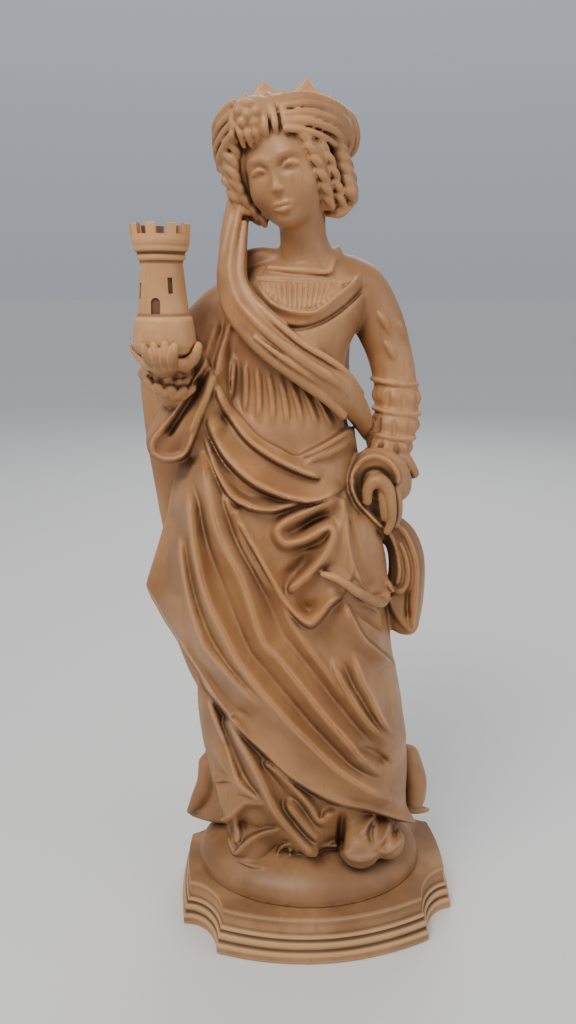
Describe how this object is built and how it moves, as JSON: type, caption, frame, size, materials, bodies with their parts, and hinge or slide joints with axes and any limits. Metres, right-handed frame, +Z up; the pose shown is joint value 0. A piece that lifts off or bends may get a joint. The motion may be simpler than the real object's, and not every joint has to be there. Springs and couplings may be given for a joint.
{
  "type": "carved wooden statue",
  "caption": "Carved wooden statue of a crowned, robed standing figure holding a small tower, on a moulded plinth.",
  "frame": {"origin": "centre of the plinth's underside", "axes": "+Z up, +X to the right as the plinth's front is seen, -Y to the front"},
  "size_m": [0.1538, 0.1063, 0.3993],
  "materials": {
    "figure_wood": "stained and waxed limewood, satin",
    "tower_wood": "stained and waxed limewood, satin",
    "plinth_wood": "stained and waxed limewood, satin"
  },
  "bodies": {
    "root": {"figure": "figure_wood", "tower": "tower_wood", "plinth": "plinth_wood"}
  },
  "joints": []
}
